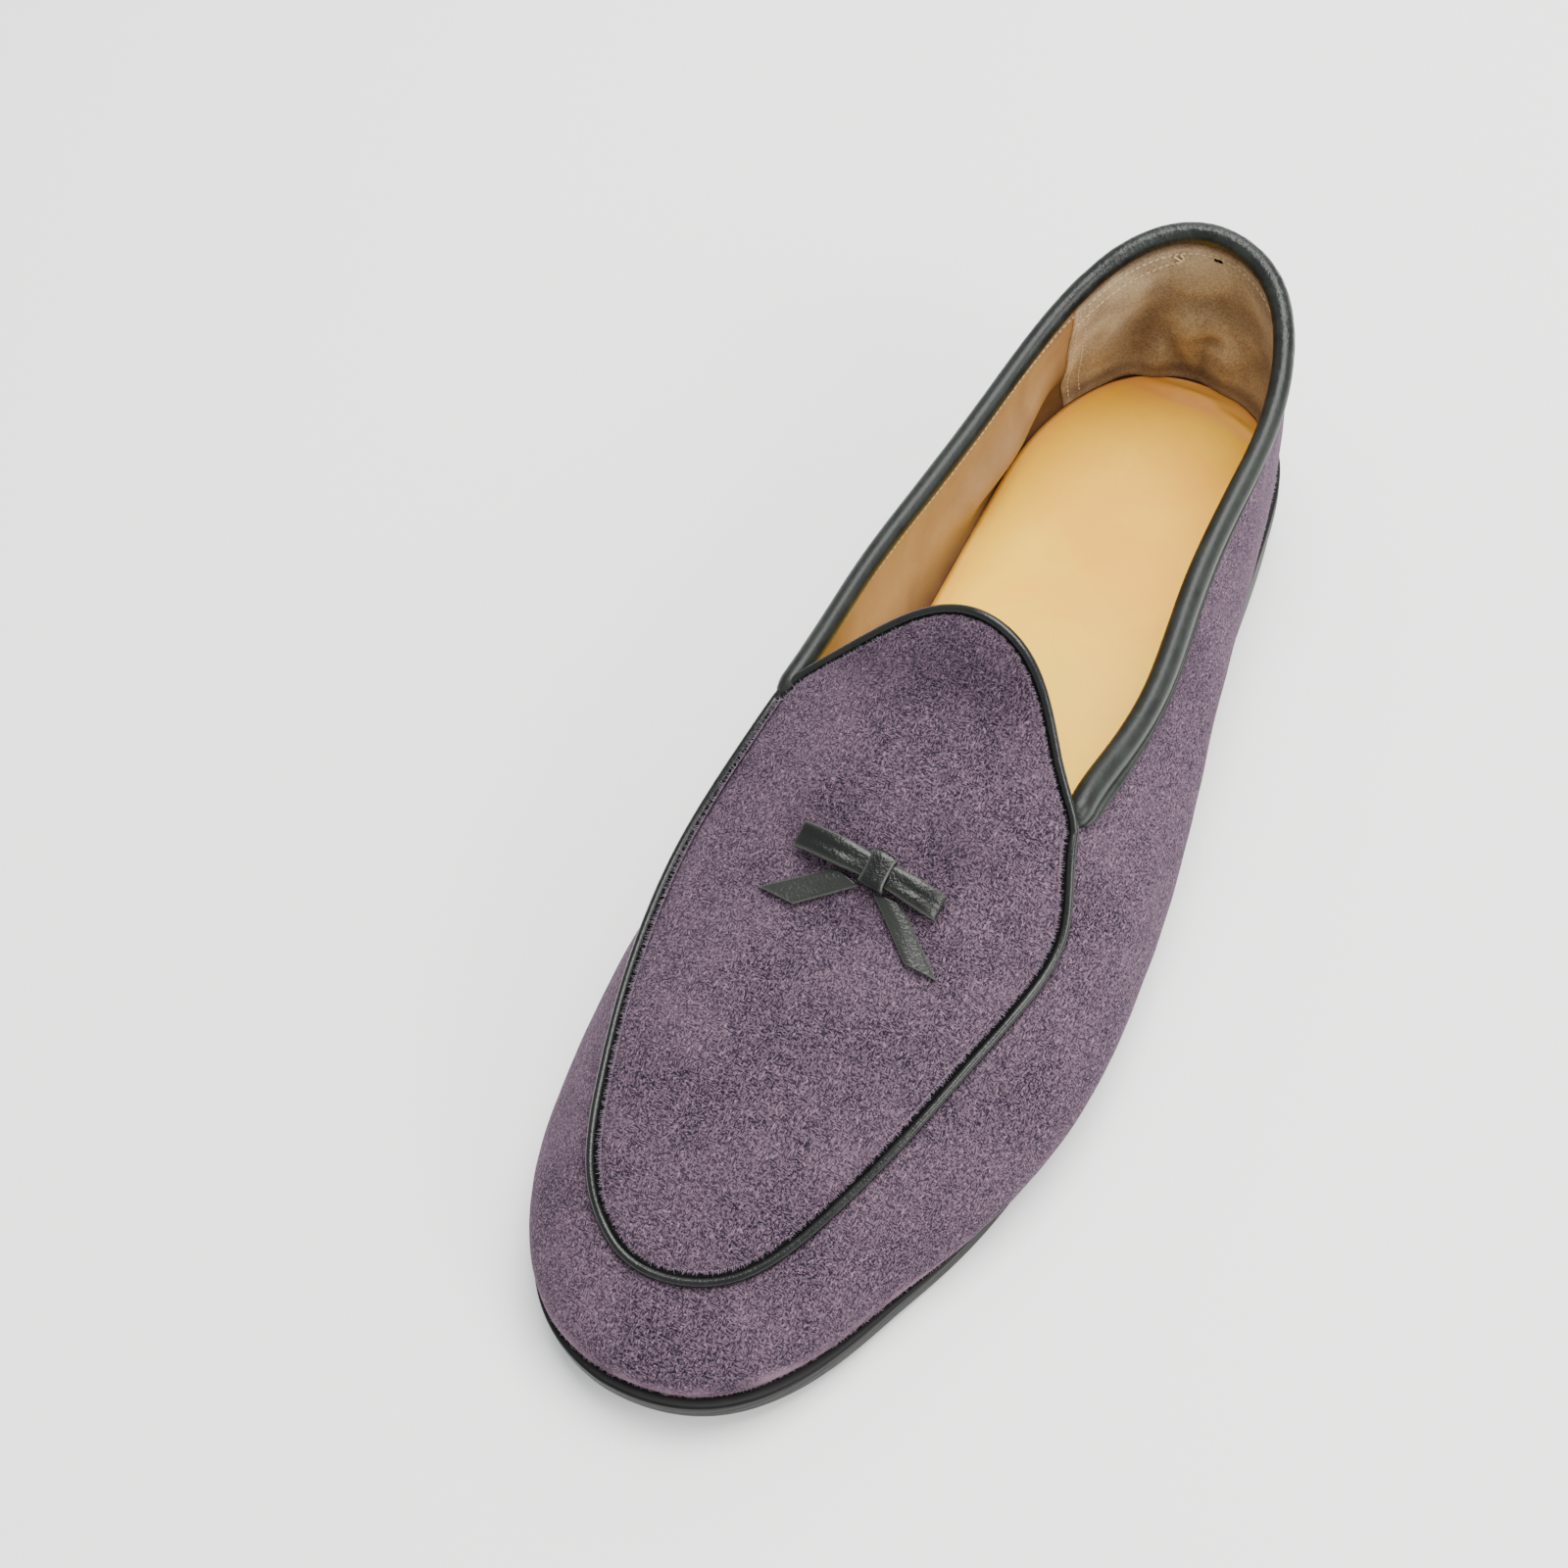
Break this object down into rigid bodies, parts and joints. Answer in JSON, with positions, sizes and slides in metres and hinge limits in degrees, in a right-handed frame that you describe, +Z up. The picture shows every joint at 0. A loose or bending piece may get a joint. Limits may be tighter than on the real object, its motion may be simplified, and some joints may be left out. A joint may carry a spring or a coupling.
{
  "type": "belgian loafer",
  "caption": "Left slip-on loafer with a suede upper, raised apron with a free tab, leather collar roll, small ribbon bow, thin leather sole and low heel.",
  "frame": {"origin": "on the floor under the middle of the shoe's length and width", "axes": "+Z up, +Y from toe to heel, +X to the outer side of the left foot"},
  "size_m": [0.1096, 0.294, 0.0789],
  "materials": {
    "mauve_suede": "purple suede, matt with a fine nap",
    "black_leather": "smooth black leather, satin",
    "tan_leather": "natural tan leather, satin",
    "black_sole_leather": "black dyed sole leather, satin edge"
  },
  "bodies": {
    "root": {"upper": "mauve_suede", "apron_piping": "black_leather", "collar_roll": "black_leather", "bow_loops": "black_leather", "bow_knot": "black_leather", "bow_tail_inner": "black_leather", "bow_tail_outer": "black_leather", "insole": "tan_leather", "outsole": "black_sole_leather", "heel": "black_sole_leather"}
  },
  "joints": []
}
